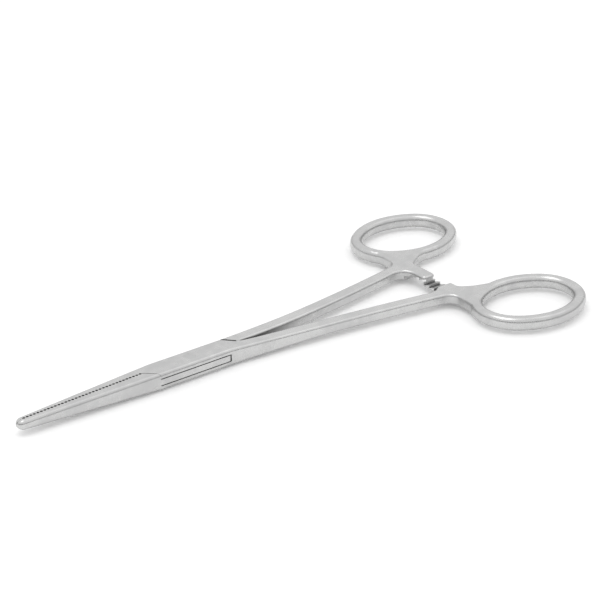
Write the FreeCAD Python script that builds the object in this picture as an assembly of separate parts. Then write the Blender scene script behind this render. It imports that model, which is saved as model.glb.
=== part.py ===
# Straight box-lock haemostatic forceps, 140 mm long, lying flat with the jaws closed.
# Millimetres. The origin is on the hinge axis at the underside of the box, +Z is the hinge
# axis, the jaws point to -X and the finger rings to +X. The pieces are two steel forgings
# that cross in the box lock, and the pin that holds them together.
import FreeCAD, Part
import math
import os

from FreeCAD import Vector

# Box lock
BOX_THICKNESS = 4.3
BOX_WIDTH = 6.0
BOX_EDGE_RADIUS = 0.9
SHOULDER_FLANK_X = 9.4
SHOULDER_MIDLINE_X = 12.6
SLOT_END_RADIUS = 9.6
WEB_THICKNESS = 1.6
PIN_RADIUS = 1.4

# Running clearances
WEB_FACE_CLEARANCE = 0.03
WEB_END_CLEARANCE = 0.1
SHOULDER_CLEARANCE = 0.08
PIN_RUNNING_CLEARANCE = 0.04
MIDLINE_CLEARANCE = 0.03

# Jaws
JAW_TIP_X = -43.8
JAW_TIP_HALF_WIDTH = 1.4
JAW_TIP_HALF_HEIGHT = 1.2
JAW_NOSE_LENGTH = 1.6
JAW_EDGE_RADIUS = 0.95
SERRATION_PITCH = 0.85
SERRATION_DEPTH = 0.32
SERRATION_CREST_DROP = 0.01
SERRATION_FIRST_X = -42.4
SERRATION_LAST_X = -13.4
NOSE_STATIONS_DEG = (25, 50, 70, 84)
JAW_BLANK_OVERLAP = 1.0

# Shanks: the edges are arcs through the root, the middle and the ratchet bar, where the
# centre line stands this far from the midline
SHANK_ROOT_INNER_Y = -0.15
SHANK_MID_Y = 4.45
SHANK_MID_WIDTH = 3.3
SHANK_END_Y = 9.435
SHANK_END_WIDTH = 3.09
SHANK_FLAT_HALF_HEIGHT = 1.37
SHANK_STRAIGHT_LENGTH = 6.4
SHANK_EDGE_RADIUS = 0.7

# Ratchet bars
RATCHET_X = 70.5
RATCHET_WIDTH = 4.6
RATCHET_REACH = 0.85
RATCHET_PITCH = 1.85
RATCHET_TOOTH_DEPTH = 0.5
RATCHET_GROOVES = 3
RATCHET_TIP_CLEARANCE = 0.03
RATCHET_RELIEF_MARGIN = 1.89
RATCHET_FRONT_FILLET = 3.5
RATCHET_REAR_FILLET = 1.6
RATCHET_CORNER_RADIUS = 1.0

# Finger rings: the setback is from the ratchet bar, the offset from the shank's centre line
RING_SETBACK = 11.1
RING_OFFSET = 13.465
RING_HALF_LENGTH = 13.4
RING_HALF_WIDTH = 10.2
RING_END_RADIUS = 8.6
RING_BAR_WIDTH = 3.0
RING_BAR_THICKNESS = 3.4
RING_EDGE_RADIUS = 1.3
RING_CORNER_FLATS = 3
RING_TURN_DEG = 2.5
RING_CROOK_LEAD = 1.9
RING_CROOK_RADIUS = 3.2
FOOT_INNER_DEG = 264
FOOT_OUTER_DEG = 203
FOOT_STEPS = 4
FOOT_SINK = 1.0

# Values worked out from the sizes above
MID_Z = BOX_THICKNESS / 2
BOX_HALF_WIDTH = BOX_WIDTH / 2
SHANK_ROOT_X = SHOULDER_FLANK_X
SHANK_MID_X = (SHANK_ROOT_X + RATCHET_X) / 2
RING_CENTRE_X = RATCHET_X + RING_SETBACK
RING_CENTRE_Y = SHANK_END_Y + RING_OFFSET
RING_CROOK_X = RATCHET_X - RING_CROOK_LEAD
RING_SIDE_RADIUS = (RING_HALF_LENGTH ** 2 + RING_HALF_WIDTH ** 2
                    - 2 * RING_HALF_LENGTH * RING_END_RADIUS) / (
                        2 * (RING_HALF_WIDTH - RING_END_RADIUS))

# How far cutters run past the part, and how near two points count as the same
REACH = 3 * RING_CENTRE_X
SNAP = 0.01


def point(x, y, z=0.0):
    return Vector(x, y, z)


def bow(root_y, mid_y, end_y):
    """Circle through the root, middle and end stations of one edge of a +Y shank."""
    return Part.Circle(point(SHANK_ROOT_X, root_y), point(SHANK_MID_X, mid_y),
                       point(RATCHET_X, end_y))


def bow_point(circle, x):
    """Point at x on the side of the circle that is nearer to the midline."""
    rise = math.sqrt(circle.Radius ** 2 - (x - circle.Center.x) ** 2)
    return point(x, circle.Center.y - rise)


def shank_inner(x):
    circle = bow(SHANK_ROOT_INNER_Y, SHANK_MID_Y - SHANK_MID_WIDTH / 2,
                 SHANK_END_Y - SHANK_END_WIDTH / 2)
    return bow_point(circle, x)


def shank_outer(x):
    circle = bow(BOX_HALF_WIDTH, SHANK_MID_Y + SHANK_MID_WIDTH / 2,
                 SHANK_END_Y + SHANK_END_WIDTH / 2)
    return bow_point(circle, x)


def line(a, b):
    return Part.makeLine(a, b)


def arc(start, middle, end):
    return Part.Arc(start, middle, end).toShape()


def rounded_path(corners):
    """Edges of an open path through (x, y, radius) corners.

    Each corner between the two ends becomes a tangent arc of its radius.
    """
    edges = []
    start = point(corners[0][0], corners[0][1])
    for i in range(1, len(corners) - 1):
        here = point(corners[i][0], corners[i][1])
        before = (point(corners[i - 1][0], corners[i - 1][1]) - here).normalize()
        after = (point(corners[i + 1][0], corners[i + 1][1]) - here).normalize()
        radius = corners[i][2]
        half_angle = before.getAngle(after) / 2
        run = radius / math.tan(half_angle)
        centre = here + (before + after).normalize() * (radius / math.sin(half_angle))
        middle = centre + (here - centre).normalize() * radius
        arc_start = here + before * run
        arc_end = here + after * run
        edges.append(line(start, arc_start))
        edges.append(arc(arc_start, middle, arc_end))
        start = arc_end
    edges.append(line(start, point(corners[-1][0], corners[-1][1])))
    return edges


def chain(points):
    return [line(a, b) for a, b in zip(points, points[1:])]


def polygon(spots):
    return chain(spots + spots[:1])


def upright(edges):
    """Solid over a closed outline in plan, from well below to well above the part."""
    face = Part.Face(Part.Wire(Part.__sortEdges__(edges)))
    face.translate(point(0, 0, -BOX_THICKNESS))
    return face.extrude(point(0, 0, 3 * BOX_THICKNESS))


def sideways(edges):
    """Solid behind a closed outline in the XZ plane, right across the part."""
    face = Part.Face(Part.Wire(Part.__sortEdges__(edges)))
    face.translate(point(0, -REACH, 0))
    return face.extrude(point(0, 2 * REACH, 0))


def turned(shape):
    """Copy turned half round the hinge axis, from the ring end to the jaw end."""
    copy = shape.copy()
    copy.rotate(point(0, 0), point(0, 0, 1), 180)
    return copy


def mirrored(shape):
    return shape.mirror(point(0, 0), point(0, 1, 0))


def rounded_bar(half_length):
    """Bar of the box's section along X with its four long edges rounded."""
    bar = Part.makeBox(2 * half_length, BOX_WIDTH, BOX_THICKNESS)
    bar.translate(point(-half_length, -BOX_HALF_WIDTH, 0))
    edges = [e for e in bar.Edges if e.BoundBox.XLength > half_length]
    return bar.makeFillet(BOX_EDGE_RADIUS, edges)


def shoulder_tongues():
    """Tongues of the box plates that run out along the midline past the ends of the box."""
    bar = rounded_bar(SHOULDER_MIDLINE_X)
    rear = Part.makeBox(REACH, REACH, BOX_THICKNESS)
    rear.translate(point(SHANK_ROOT_X, SHANK_ROOT_INNER_Y, 0))
    front = turned(rear)
    return bar.common(rear).common(arm_side()).fuse(bar.common(front).common(jaw_side()))


def tongue_zones(midline, shift):
    """Plan regions, at full height, where the tongue half is as thick as the box.

    They lie past the oblique edges of the plates. Each edge comes nearer to the hinge axis
    in the sense in which the tongue half opens, so the shoulders move clear of it. The rear
    one ends where the shanks have parted, so the ratchet bars cross the midline beyond it.
    """
    edge = [
        point(SHOULDER_FLANK_X + shift, REACH),
        point(SHOULDER_FLANK_X + shift, BOX_HALF_WIDTH),
        point(SHOULDER_MIDLINE_X + shift, midline),
    ]
    rear = upright(polygon(edge + [point(SHANK_MID_X, midline), point(SHANK_MID_X, REACH)]))
    front = upright(polygon(edge + [point(REACH, midline), point(REACH, REACH)]))
    return [rear, turned(front)]


def slot_region(radius, midline, thickness):
    """Slab between the plates: a disc about the hinge and the two necks that leave it."""
    low = MID_Z - thickness / 2
    slab = Part.makeCylinder(radius, thickness, point(0, 0, low))
    neck = Part.makeBox(SHOULDER_MIDLINE_X + BOX_WIDTH, BOX_WIDTH, thickness)
    neck.translate(point(0, midline, low))
    return slab.fuse([neck, turned(neck)])


def jaw_side():
    """Thickness of the jaw's straight part from the side, extruded across the width."""
    root_x = -SHOULDER_FLANK_X
    nose_x = JAW_TIP_X + JAW_NOSE_LENGTH
    low = MID_Z - JAW_TIP_HALF_HEIGHT
    high = MID_Z + JAW_TIP_HALF_HEIGHT
    corners = [(root_x, 0), (nose_x, low), (nose_x, high), (root_x, BOX_THICKNESS)]
    return sideways(polygon([point(x, 0, z) for x, z in corners]))


def jaw_section(x, half_width, half_height, edge_radius):
    """Cross-section of a jaw at x, square at the midline and rounded at its two outer edges."""
    low = MID_Z - half_height
    high = MID_Z + half_height
    inner = -JAW_BLANK_OVERLAP
    slope = edge_radius * math.sqrt(0.5)
    side = half_width - edge_radius
    edges = [line(point(x, inner, low), point(x, side, low))]
    corner = point(x, side + slope, low + edge_radius - slope)
    edges.append(arc(point(x, side, low), corner, point(x, half_width, low + edge_radius)))
    edges.append(line(point(x, half_width, low + edge_radius),
                      point(x, half_width, high - edge_radius)))
    corner = point(x, side + slope, high - edge_radius + slope)
    edges.append(arc(point(x, half_width, high - edge_radius), corner, point(x, side, high)))
    edges.append(line(point(x, side, high), point(x, inner, high)))
    edges.append(line(point(x, inner, high), point(x, inner, low)))
    return Part.Wire(edges)


def jaw():
    """Jaw on the +Y side: an even taper in plan and in thickness, round at the nose."""
    nose_x = JAW_TIP_X + JAW_NOSE_LENGTH
    root = jaw_section(-SHOULDER_FLANK_X, BOX_HALF_WIDTH, MID_Z, BOX_EDGE_RADIUS)
    nose = jaw_section(nose_x, JAW_TIP_HALF_WIDTH, JAW_TIP_HALF_HEIGHT, JAW_EDGE_RADIUS)
    blade = Part.makeLoft([root, nose], True, True)
    sections = [nose]
    for angle in NOSE_STATIONS_DEG:
        size = math.cos(math.radians(angle))
        x = nose_x - JAW_NOSE_LENGTH * math.sin(math.radians(angle))
        sections.append(jaw_section(x, JAW_TIP_HALF_WIDTH * size, JAW_TIP_HALF_HEIGHT * size,
                                    JAW_EDGE_RADIUS * size))
    return blade.fuse(Part.makeLoft(sections, True, False))


def serration_comb():
    """Cutter for the cross serrations of a jaw on the +Y side: one row of V grooves."""
    count = int((SERRATION_LAST_X - SERRATION_FIRST_X) / SERRATION_PITCH)
    crest = MIDLINE_CLEARANCE + SERRATION_CREST_DROP
    corners = [(SERRATION_FIRST_X, -BOX_WIDTH), (SERRATION_FIRST_X, crest)]
    for i in range(count):
        x = SERRATION_FIRST_X + i * SERRATION_PITCH
        corners.append((x + SERRATION_PITCH / 2, crest + SERRATION_DEPTH))
        corners.append((x + SERRATION_PITCH, crest))
    corners.append((corners[-1][0], -BOX_WIDTH))
    return upright(polygon([point(x, y) for x, y in corners]))


def arm_outline():
    """Plan of a shank on the +Y side with its ratchet bar and its foot on the ring."""
    front_x = RATCHET_X - RATCHET_WIDTH / 2
    rear_x = RATCHET_X + RATCHET_WIDTH / 2
    bend_x = front_x - SHANK_STRAIGHT_LENGTH
    inner = arc(shank_inner(SHANK_ROOT_X), shank_inner(SHANK_MID_X), shank_inner(bend_x))
    outer = arc(shank_outer(SHANK_ROOT_X), shank_outer(SHANK_MID_X), shank_outer(bend_x))
    foot = foot_corners()
    inside = rounded_path([
        (bend_x, shank_inner(bend_x).y, 0),
        (front_x, shank_inner(front_x).y, RATCHET_FRONT_FILLET),
        (front_x, -RATCHET_REACH, RATCHET_CORNER_RADIUS),
        (rear_x, -RATCHET_REACH, RATCHET_CORNER_RADIUS),
        (rear_x, shank_inner(rear_x).y, RATCHET_REAR_FILLET),
        (foot[0].x, foot[0].y, 0),
    ])
    outside = rounded_path([
        (foot[-1].x, foot[-1].y, 0),
        (RING_CROOK_X, shank_outer(RING_CROOK_X).y, RING_CROOK_RADIUS),
        (bend_x, shank_outer(bend_x).y, 0),
    ])
    root = line(shank_outer(SHANK_ROOT_X), shank_inner(SHANK_ROOT_X))
    return [root, inner, outer] + inside + chain(foot) + outside


def foot_corners():
    """Corners of the part of an arm's outline that is sunk in the bar of its ring."""
    turn = FOOT_OUTER_DEG - FOOT_INNER_DEG
    angles = [FOOT_INNER_DEG + turn * i / FOOT_STEPS for i in range(FOOT_STEPS + 1)]
    middle = [ring_point(angle, 0.0) for angle in angles]
    return [ring_point(FOOT_INNER_DEG, FOOT_SINK)] + middle + [
        ring_point(FOOT_OUTER_DEG, FOOT_SINK)]


def ring_point(angle_deg, offset):
    """Point of the +Y ring at an offset outside the centre line of its bar.

    The angle is the direction in which the ring faces there.
    """
    angle = math.radians(angle_deg)
    facing = point(math.cos(angle), math.sin(angle))
    end_x = RING_HALF_LENGTH - RING_END_RADIUS
    side_y = RING_SIDE_RADIUS - RING_HALF_WIDTH
    if abs(facing.y) * end_x < abs(facing.x) * side_y:
        centre = point(math.copysign(end_x, facing.x), 0)
        spot = centre + facing * (RING_END_RADIUS + offset)
    else:
        centre = point(0, -math.copysign(side_y, facing.y))
        spot = centre + facing * (RING_SIDE_RADIUS + offset)
    turn = math.radians(RING_TURN_DEG)
    return point(RING_CENTRE_X + spot.x * math.cos(turn) - spot.y * math.sin(turn),
                 RING_CENTRE_Y + spot.x * math.sin(turn) + spot.y * math.cos(turn))


def arm_side():
    """Thickness of shank and ratchet bar from the side, extruded across the width.

    The shank thins along an arc from the box to its middle and is even from there on.
    """
    thinning = MID_Z - SHANK_FLAT_HALF_HEIGHT
    length = SHANK_MID_X - SHANK_ROOT_X
    radius = (length ** 2 + thinning ** 2) / (2 * thinning)
    middle_thinning = radius - math.sqrt(radius ** 2 - length ** 2 / 4)
    middle_x = SHANK_ROOT_X + length / 2
    edges = []
    for side in (1, -1):
        flat_z = MID_Z + side * SHANK_FLAT_HALF_HEIGHT
        root = point(SHANK_ROOT_X, 0, MID_Z + side * MID_Z)
        middle = point(middle_x, 0, flat_z + side * middle_thinning)
        flat = point(SHANK_MID_X, 0, flat_z)
        edges += [arc(root, middle, flat), line(flat, point(REACH, 0, flat_z))]
    low = MID_Z - SHANK_FLAT_HALF_HEIGHT
    high = MID_Z + SHANK_FLAT_HALF_HEIGHT
    edges.append(line(point(REACH, 0, low), point(REACH, 0, high)))
    edges.append(line(point(SHANK_ROOT_X, 0, 0), point(SHANK_ROOT_X, 0, BOX_THICKNESS)))
    return sideways(edges)


def arm():
    """Shank on the +Y side with the blank of its ratchet bar."""
    blank = upright(arm_outline()).common(arm_side())
    return blank.makeFillet(SHANK_EDGE_RADIUS, [e for e in blank.Edges if is_rim_edge(e)])


def is_rim_edge(edge):
    """True for the upper and lower edges that run round the outside of an arm."""
    ends = (edge.valueAt(edge.FirstParameter), edge.valueAt(edge.LastParameter))
    if abs(ends[0].z - ends[1].z) > SHANK_FLAT_HALF_HEIGHT:
        return False
    if all(abs(end.x - SHANK_ROOT_X) < SNAP for end in ends):
        return False
    if all(abs(end.x - SHANK_MID_X) < SNAP for end in ends):
        return False
    return not all(is_foot_corner(end) for end in ends)


def is_foot_corner(spot):
    return any(math.hypot(spot.x - c.x, spot.y - c.y) < SNAP for c in foot_corners())


def finger_ring():
    """Closed oval ring on the +Y side, of two end arcs and two side arcs."""
    end_x = RING_HALF_LENGTH - RING_END_RADIUS
    side_y = RING_SIDE_RADIUS - RING_HALF_WIDTH
    join = math.degrees(math.atan2(side_y, end_x))
    arcs = (
        (point(end_x, 0), RING_END_RADIUS, -join, 2 * join),
        (point(0, -side_y), RING_SIDE_RADIUS, join, 180 - 2 * join),
        (point(-end_x, 0), RING_END_RADIUS, 180 - join, 2 * join),
        (point(0, side_y), RING_SIDE_RADIUS, 180 + join, 180 - 2 * join),
    )
    bars = []
    for centre, radius, start, sweep in arcs:
        section = ring_section(radius)
        section.rotate(point(0, 0), point(0, 0, 1), start)
        section.translate(centre)
        bars.append(section.revolve(centre, point(0, 0, 1), sweep))
    ring = bars[0].fuse(bars[1:]).removeSplitter()
    ring.rotate(point(0, 0), point(0, 0, 1), RING_TURN_DEG)
    ring.translate(point(RING_CENTRE_X, RING_CENTRE_Y))
    return ring


def ring_section(radius):
    """Section of the ring's bar at a radius from the Z axis, its corners rounded in flats."""
    half_width = RING_BAR_WIDTH / 2 - RING_EDGE_RADIUS
    half_height = RING_BAR_THICKNESS / 2 - RING_EDGE_RADIUS
    spots = []
    for quarter, (side, level) in enumerate(((1, 1), (-1, 1), (-1, -1), (1, -1))):
        for i in range(RING_CORNER_FLATS + 1):
            angle = math.radians(90 * (quarter + i / RING_CORNER_FLATS))
            x = radius + side * half_width + RING_EDGE_RADIUS * math.cos(angle)
            z = MID_Z + level * half_height + RING_EDGE_RADIUS * math.sin(angle)
            spots.append(point(x, 0, z))
    return Part.Face(Part.Wire(polygon(spots)))


def ratchet_teeth(upper):
    """Cutter for the saw teeth on the meeting face of a ratchet bar.

    The first tooth of each bar stands on the midline, with its steep side towards its own
    ring, so the two first teeth are back to back as on the first click.
    """
    face_z = MID_Z - RATCHET_TIP_CLEARANCE
    root_z = face_z - RATCHET_TOOTH_DEPTH
    cutters = []
    for i in range(-1, RATCHET_GROOVES):
        steep_y = -i * RATCHET_PITCH
        spots = [(steep_y, face_z), (steep_y, root_z), (steep_y - RATCHET_PITCH, face_z)]
        outline = polygon([point(RATCHET_X - RATCHET_WIDTH, y, z) for y, z in spots])
        face = Part.Face(Part.Wire(outline))
        cutters.append(face.extrude(point(2 * RATCHET_WIDTH, 0, 0)))
    cutter = cutters[0].fuse(cutters[1:])
    if upper:
        cutter.rotate(point(0, 0, MID_Z), point(1, 0, 0), 180)
    return cutter


def ratchet_relief(upper):
    """Half of the thickness that a bar loses so that the other bar can pass."""
    stop_y = shank_inner(RATCHET_X).y - RATCHET_RELIEF_MARGIN
    relief = Part.makeBox(2 * RATCHET_WIDTH, 2 * stop_y, BOX_THICKNESS)
    relief.translate(point(RATCHET_X - RATCHET_WIDTH, -stop_y, 0))
    lift = MID_Z - RATCHET_TIP_CLEARANCE
    if upper:
        lift = MID_Z + RATCHET_TIP_CLEARANCE - BOX_THICKNESS
    relief.translate(point(0, 0, lift))
    return relief


def half_blank():
    """One forging before parting: jaw on +Y, shank and ring on -Y, whole box between."""
    handle = mirrored(arm().fuse(finger_ring()))
    return rounded_bar(SHOULDER_FLANK_X).fuse([jaw(), handle])


def box_half():
    """Half whose box plates lie above and below the web of the other half."""
    half = half_blank().fuse(shoulder_tongues())
    half = half.cut(tongue_zones(-MIDLINE_CLEARANCE, 0.0))
    slot_height = WEB_THICKNESS + 2 * WEB_FACE_CLEARANCE
    half = half.cut(slot_region(SLOT_END_RADIUS, -MIDLINE_CLEARANCE, slot_height))
    half = half.cut(serration_comb())
    half = half.cut(ratchet_relief(False)).cut(ratchet_teeth(False))
    return half.cut(pin_bore(0.0)).removeSplitter()


def tongue_half():
    """Half that narrows to a flat web in the box lock and passes between the plates."""
    blank = mirrored(half_blank())
    web = slot_region(SLOT_END_RADIUS - WEB_END_CLEARANCE, MIDLINE_CLEARANCE, WEB_THICKNESS)
    handle = Part.makeBox(REACH, 2 * REACH, 2 * REACH, point(SHANK_MID_X, -REACH, -REACH))
    kept = tongue_zones(MIDLINE_CLEARANCE, SHOULDER_CLEARANCE)
    half = blank.common(web.fuse(kept + [handle]))
    half = half.cut(mirrored(serration_comb()))
    half = half.cut(ratchet_relief(True)).cut(ratchet_teeth(True))
    return half.cut(pin_bore(PIN_RUNNING_CLEARANCE)).removeSplitter()


def pin_bore(clearance):
    return Part.makeCylinder(PIN_RADIUS + clearance, 3 * BOX_THICKNESS, point(0, 0, -BOX_THICKNESS))


def box_lock_pin():
    return Part.makeCylinder(PIN_RADIUS, BOX_THICKNESS)


PIECES = {
    "box_half": box_half,
    "tongue_half": tongue_half,
    "box_lock_pin": box_lock_pin,
}


def main():
    os.makedirs("parts", exist_ok=True)
    for name, build in PIECES.items():
        shape = build()
        print(name, shape.ShapeType, len(shape.Solids), round(shape.Volume, 2), shape.isValid())
        shape.exportStep(os.path.join("parts", name + ".step"))


if __name__ == "__main__":
    main()
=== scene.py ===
"""Straight box-lock forceps in polished steel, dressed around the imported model.

The classes hold millimetres, and each piece is turned to metres as it is finished.
"""

import logging
import math
from dataclasses import dataclass, field
from enum import Enum
from functools import reduce
from typing import Callable, Iterable, Optional, Sequence

import bmesh
import bpy
from mathutils import Matrix, Vector
from mathutils.geometry import delaunay_2d_cdt


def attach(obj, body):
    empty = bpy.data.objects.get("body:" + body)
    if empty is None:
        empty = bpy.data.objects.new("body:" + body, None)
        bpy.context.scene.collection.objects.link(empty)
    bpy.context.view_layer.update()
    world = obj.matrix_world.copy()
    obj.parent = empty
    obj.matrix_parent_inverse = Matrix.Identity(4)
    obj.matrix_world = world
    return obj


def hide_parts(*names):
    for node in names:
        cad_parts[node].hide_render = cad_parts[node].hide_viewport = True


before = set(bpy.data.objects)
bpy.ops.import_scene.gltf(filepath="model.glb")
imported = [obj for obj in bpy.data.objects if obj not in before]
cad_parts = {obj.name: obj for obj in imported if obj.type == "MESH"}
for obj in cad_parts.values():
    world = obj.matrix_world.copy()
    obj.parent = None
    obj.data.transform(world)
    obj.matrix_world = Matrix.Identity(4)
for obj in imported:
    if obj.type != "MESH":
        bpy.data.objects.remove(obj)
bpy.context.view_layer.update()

logging.basicConfig(level=logging.INFO, format="%(levelname)s %(message)s")
LOG = logging.getLogger("forceps")

MM = 0.001
SHARP_ANGLE = math.radians(34)

# In millimetres: the longest edge of a plan outline, the heights between which a cutter
# goes right through the part, and how far it reaches past the part's sides and ends.
OUTLINE_STEP = 0.35
BELOW, ABOVE = -2.0, 8.0
WIDE, FAR = 20.0, 60.0

Spot = tuple[float, float]
Corner = tuple[float, float, float]
Range = tuple[float, float]
Noise = tuple[float, float, float]


class Join(Enum):
    """How one solid is combined with another."""

    UNITE = "UNION"
    CUT = "DIFFERENCE"


class Piece(Enum):
    """The pieces: shown name, body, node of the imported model, and material slot."""

    BOX = ("box_forging", "box_body", "box_half", "forged_steel")
    TONGUE = ("tongue_forging", "tongue_body", "tongue_half", "forged_steel")
    PIN = ("rivet_pin", "box_body", "box_lock_pin", "pin_steel")


def mix(one: float, two: float, share: float) -> float:
    """Value at a share of the way from one to two."""
    return one + (two - one) * share


def add_object(name: str, data: bpy.types.ID,
               home: Optional[bpy.types.Collection] = None) -> bpy.types.Object:
    """Makes an object and links it to a collection.

    Args:
        name: Its name.
        data: Its mesh, curve, lamp or camera.
        home: The collection, where it isn't the scene's own.

    Returns:
        The object.
    """
    made = bpy.data.objects.new(name, data)
    if home is None:
        home = bpy.context.scene.collection
    home.objects.link(made)
    return made


@dataclass(frozen=True)
class RimSpot:
    """One spot of a plan outline with the radius of the rounded rim there."""

    x: float
    y: float
    rim: float


class Path:
    """Plan curves as lists of spots.

    An edge shorter than the step divided by FINEST is left out.
    """

    FINEST = 20

    @staticmethod
    def arc(centre: Vector, radius: float, start: float, end: float) -> list[Spot]:
        """Spots along an arc, both ends included.

        Args:
            centre: Centre of the arc.
            radius: Its radius.
            start: Angle of its start, in radians.
            end: Angle of its end, in radians.

        Returns:
            The spots in order.
        """
        count = max(3, math.ceil(abs(end - start) * radius / OUTLINE_STEP))
        angles = [start + (end - start) * i / count for i in range(count + 1)]
        return [(centre.x + radius * math.cos(a), centre.y + radius * math.sin(a))
                for a in angles]

    @staticmethod
    def circle(radius: float, count: int, phase: float = 0.0) -> list[Spot]:
        """Corners of a many-sided circle about the hinge axis.

        Args:
            radius: Its radius.
            count: Number of corners.
            phase: Turn of the first corner, as a share of one side.

        Returns:
            The corners in order.
        """
        turns = [2 * math.pi * (i + phase) / count for i in range(count)]
        return [(radius * math.cos(a), radius * math.sin(a)) for a in turns]

    @staticmethod
    def rounded(corners: Sequence[Corner]) -> list[Spot]:
        """Open path through corners, each inner corner turned into a tangent arc.

        Args:
            corners: (x, y, radius) of each corner.

        Returns:
            The spots in order.
        """
        spots = [corners[0][:2]]
        for before, here, after in zip(corners, corners[1:], corners[2:]):
            corner = Vector(here[:2])
            back = (Vector(before[:2]) - corner).normalized()
            ahead = (Vector(after[:2]) - corner).normalized()
            half = back.angle(ahead) / 2
            run = here[2] / math.tan(half)
            centre = corner + (back + ahead).normalized() * (here[2] / math.sin(half))
            first, last = corner + back * run - centre, corner + ahead * run - centre
            start = math.atan2(first.y, first.x)
            sweep = math.remainder(math.atan2(last.y, last.x) - start, 2 * math.pi)
            spots += Path.arc(centre, here[2], start, start + sweep)
        return spots + [corners[-1][:2]]

    @staticmethod
    def dense(spots: Sequence[RimSpot]) -> list[RimSpot]:
        """Closed outline with more spots on its long edges and none on top of another.

        Args:
            spots: The outline.

        Returns:
            The outline with no edge longer than the step.
        """
        made: list[RimSpot] = []
        for here, after in zip(spots, list(spots[1:]) + [spots[0]]):
            run = math.hypot(after.x - here.x, after.y - here.y)
            if run < OUTLINE_STEP / Path.FINEST:
                continue
            count = max(1, math.ceil(run / OUTLINE_STEP))
            made += [RimSpot(mix(here.x, after.x, i / count),
                             mix(here.y, after.y, i / count),
                             mix(here.rim, after.rim, i / count)) for i in range(count)]
        return made

    @staticmethod
    def turned(spots: Sequence[Spot]) -> list[Spot]:
        """The same path turned half round the hinge axis."""
        return [(-x, -y) for x, y in spots]


class Workshop:
    """Mesh operations on working objects, in millimetres.

    A disc is turned by a share of a side, so that none of its corners lies on a cut.
    """

    DISC_PHASE = 0.37
    DISC_SIDES, WIDE_DISC_SIDES = 96, 128

    def __init__(self) -> None:
        """Opens the collection that holds the working objects."""
        self.bench = bpy.data.collections.new("bench")
        bpy.context.scene.collection.children.link(self.bench)

    def place(self, name: str, data: bpy.types.ID) -> bpy.types.Object:
        """Puts a mesh or curve on the bench."""
        return add_object(name, data, self.bench)

    def from_bmesh(self, name: str, work: bmesh.types.BMesh) -> bpy.types.Object:
        """Turns a closed bmesh into a working object with outward faces.

        Args:
            name: Name of the working object.
            work: The bmesh, which is freed.

        Returns:
            The working object.
        """
        bmesh.ops.recalc_face_normals(work, faces=work.faces)
        mesh = bpy.data.meshes.new(name)
        work.to_mesh(mesh)
        work.free()
        return self.place(name, mesh)

    def settled(self, made: bpy.types.Object) -> bpy.types.Object:
        """Bakes an object's modifiers into a plain mesh.

        Args:
            made: The working object, which is used up if it isn't a mesh.

        Returns:
            The object with the plain mesh.
        """
        bpy.context.view_layer.update()
        shown = made.evaluated_get(bpy.context.evaluated_depsgraph_get())
        mesh = bpy.data.meshes.new_from_object(shown)
        if made.type == "MESH":
            made.modifiers.clear()
            made.data = mesh
            return made
        fresh = self.place(made.name + "_mesh", mesh)
        bpy.data.objects.remove(made)
        return fresh

    def combine(self, base: bpy.types.Object, how: Join,
                tools: Sequence[bpy.types.Object]) -> bpy.types.Object:
        """Unites or cuts a solid with others, which are used up.

        Args:
            base: The solid that is changed.
            how: What to do with each tool.
            tools: The other solids.

        Returns:
            The changed base.
        """
        for tool in tools:
            step = base.modifiers.new("step", "BOOLEAN")
            step.solver = "EXACT"
            step.operation = how.value
            step.object = tool
            self.settled(base)
            bpy.data.objects.remove(tool)
        return base

    @staticmethod
    def skin(work: bmesh.types.BMesh,
             rings: Sequence[Sequence[bmesh.types.BMVert]]) -> None:
        """Joins closed rings of the same number of points into an open skin.

        Args:
            work: The bmesh that holds the points.
            rings: The rings in order.
        """
        count = len(rings[0])
        for one, two in zip(rings, rings[1:]):
            for i in range(count):
                j = (i + 1) % count
                work.faces.new((one[i], one[j], two[j], two[i]))

    def loft(self, name: str,
             rings: Iterable[Sequence[Sequence[float]]]) -> bpy.types.Object:
        """Closed solid through flat rings of the same number of points.

        Args:
            name: Name of the working object.
            rings: The points of each ring, in order.

        Returns:
            The working object.
        """
        work = bmesh.new()
        made = [[work.verts.new(point) for point in ring] for ring in rings]
        self.skin(work, made)
        work.faces.new(made[0])
        work.faces.new(made[-1])
        return self.from_bmesh(name, work)

    def prism(self, name: str, outline: Sequence[Spot], low: float = BELOW,
              high: float = ABOVE) -> bpy.types.Object:
        """Straight solid over a closed outline in plan."""
        return self.loft(name, [[(x, y, z) for x, y in outline] for z in (low, high)])

    def disc(self, name: str, radius: float, low: float = BELOW, high: float = ABOVE,
             count: int = DISC_SIDES) -> bpy.types.Object:
        """Upright cylinder about the hinge axis."""
        return self.prism(name, Path.circle(radius, count, self.DISC_PHASE), low, high)

    @staticmethod
    def mirror(made: bpy.types.Object) -> bpy.types.Object:
        """Moves a solid to the other side of the midline and keeps its faces outwards.

        Args:
            made: The solid.

        Returns:
            The same solid.
        """
        made.data.transform(Matrix.Scale(-1, 4, Vector((0, 1, 0))))
        made.data.flip_normals()
        return made


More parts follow.
